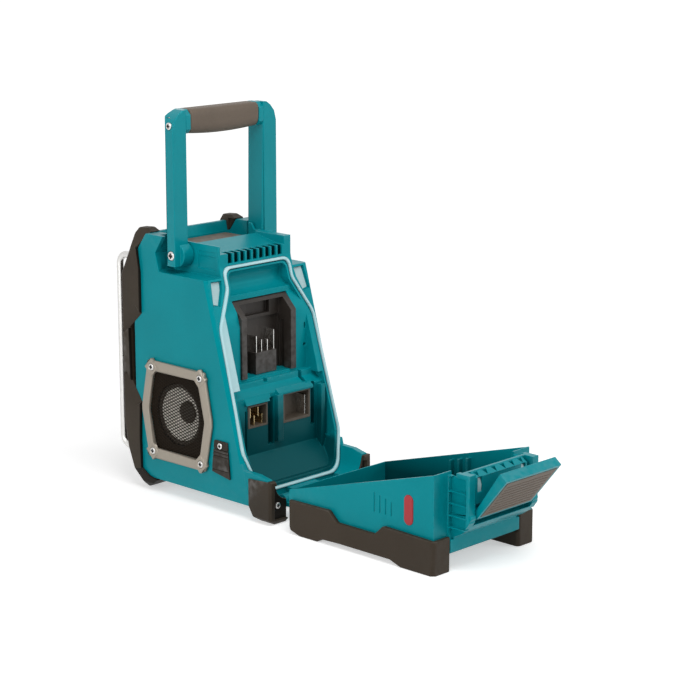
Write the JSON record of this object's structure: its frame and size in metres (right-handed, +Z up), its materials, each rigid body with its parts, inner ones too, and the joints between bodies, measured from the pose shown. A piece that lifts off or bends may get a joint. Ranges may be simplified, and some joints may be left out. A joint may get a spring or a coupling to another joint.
{
  "type": "jobsite radio",
  "caption": "Battery-powered jobsite radio with a fold-down battery door on a latch, a folding carry handle, side speakers, guard bars and a front display with push buttons and a dial.",
  "frame": {"origin": "middle of the base of the whole object with its door open, on the floor that its feet stand on", "axes": "+Z up; the front with the display faces -Y; the battery door opens along +Y; +X is across the cabinet"},
  "size_m": [0.169, 0.5583, 0.4412],
  "materials": {
    "teal_plastic": "satin moulded plastic, teal",
    "seal_rubber": "soft translucent pale cyan seal",
    "socket_black": "dark brown-black moulded plastic",
    "bright_contact": "bright plated blades",
    "socket_taupe": "taupe moulded plastic",
    "gold_contact": "plated spring contacts",
    "panel_black": "fine-textured black plastic",
    "lens": "clear window",
    "lcd": "pale display",
    "board": "green circuit board",
    "ferrite": "dark magnet and core",
    "dark_rubber": "dark brown-black elastomer",
    "steel": "plated steel",
    "frame_metal": "taupe-grey metallic paint",
    "mesh": "black perforated mesh",
    "cone_paper": "grey pressed cone",
    "grip_rubber": "taupe-brown elastomer",
    "power_red": "red plastic",
    "catch_grey": "pale grey plastic",
    "door_rubber": "warm grey-brown elastomer"
  },
  "bodies": {
    "cabinet": {"main_housing": "teal_plastic", "battery_bay": "teal_plastic", "bay_gasket": "seal_rubber", "big_socket": "socket_black", "big_socket_blades": "bright_contact", "small_socket": "socket_taupe", "small_socket_contacts": "gold_contact", "slide_socket": "socket_taupe", "slide_socket_contacts": "bright_contact", "front_panel": "panel_black", "display_lens": "lens", "display_module": "lcd", "main_board": "board", "amplifier_board": "board", "aerial": "ferrite", "bumper_right": "dark_rubber", "bumper_left": "dark_rubber", "guard_bar_right": "steel", "guard_bar_left": "steel", "speaker_frame_right": "frame_metal", "speaker_frame_left": "frame_metal", "grille_right": "mesh", "grille_left": "mesh", "speaker_cone_right": "cone_paper", "speaker_cone_left": "cone_paper", "driver_right": "ferrite", "driver_left": "ferrite", "speaker_screws": "steel", "rear_foot_right": "dark_rubber", "rear_foot_left": "dark_rubber", "foot_screws": "steel", "hinge_pin": "steel", "top_pad": "grip_rubber", "catch_plates": "catch_grey", "port_jacks": "panel_black", "port_cover_tab": "dark_rubber", "port_cover_screw": "steel", "handle_pivot_bolts": "steel"},
    "handle": {"handle_leg_right": "teal_plastic", "handle_leg_left": "teal_plastic", "handle_core": "steel", "handle_grip": "grip_rubber", "handle_screws": "steel"},
    "door": {"door_tray": "teal_plastic", "door_bumper_right": "door_rubber", "door_bumper_left": "door_rubber", "door_badges": "power_red", "latch_pin": "steel", "latch_clips": "catch_grey"},
    "latch": {"latch_lever": "teal_plastic", "latch_pad": "grip_rubber"},
    "port_flap": {"port_cover": "dark_rubber"},
    "dial": {"tuning_dial": "grip_rubber"},
    "power_button_body": {"power_button": "power_red"},
    "mode_button_body": {"mode_button": "grip_rubber"},
    "menu_button_body": {"menu_button": "grip_rubber"},
    "preset_button_1_body": {"preset_button_1": "grip_rubber"},
    "preset_button_2_body": {"preset_button_2": "grip_rubber"},
    "preset_button_3_body": {"preset_button_3": "grip_rubber"},
    "preset_button_4_body": {"preset_button_4": "grip_rubber"}
  },
  "joints": [
    {"name": "handle_hinge", "type": "hinge", "parent": "cabinet", "child": "handle", "pos_m": [0, -0.1795, 0.2797], "axis": [1, 0, 0], "range_deg": [-88, 0]},
    {"name": "door_hinge", "type": "hinge", "parent": "cabinet", "child": "door", "pos_m": [0, -0.0355, 0.02], "axis": [1, 0, 0], "range_deg": [0, 90]},
    {"name": "latch_hinge", "type": "hinge", "parent": "door", "child": "latch", "pos_m": [0, 0.2373, 0.061], "axis": [1, 0, 0], "range_deg": [0, 38]},
    {"name": "port_flap_hinge", "type": "hinge", "parent": "cabinet", "child": "port_flap", "pos_m": [0.0815, -0.1, 0.072], "axis": [0, -1, 0], "range_deg": [0, 100]},
    {"name": "dial_turn", "type": "hinge", "parent": "cabinet", "child": "dial", "pos_m": [0.024, -0.254, 0.15], "axis": [0, 1, 0], "continuous": true},
    {"name": "power_button_press", "type": "slide", "parent": "cabinet", "child": "power_button_body", "axis": [0, 1, 0], "range_m": [0, 0.0015], "stiffness_N_per_m": 300, "springref_m": -0.002},
    {"name": "mode_button_press", "type": "slide", "parent": "cabinet", "child": "mode_button_body", "axis": [0, 1, 0], "range_m": [0, 0.0015], "stiffness_N_per_m": 300, "springref_m": -0.002},
    {"name": "menu_button_press", "type": "slide", "parent": "cabinet", "child": "menu_button_body", "axis": [0, 1, 0], "range_m": [0, 0.0015], "stiffness_N_per_m": 300, "springref_m": -0.002},
    {"name": "preset_button_1_press", "type": "slide", "parent": "cabinet", "child": "preset_button_1_body", "axis": [0, 1, 0], "range_m": [0, 0.0015], "stiffness_N_per_m": 300, "springref_m": -0.002},
    {"name": "preset_button_2_press", "type": "slide", "parent": "cabinet", "child": "preset_button_2_body", "axis": [0, 1, 0], "range_m": [0, 0.0015], "stiffness_N_per_m": 300, "springref_m": -0.002},
    {"name": "preset_button_3_press", "type": "slide", "parent": "cabinet", "child": "preset_button_3_body", "axis": [0, 1, 0], "range_m": [0, 0.0015], "stiffness_N_per_m": 300, "springref_m": -0.002},
    {"name": "preset_button_4_press", "type": "slide", "parent": "cabinet", "child": "preset_button_4_body", "axis": [0, 1, 0], "range_m": [0, 0.0015], "stiffness_N_per_m": 300, "springref_m": -0.002}
  ]
}
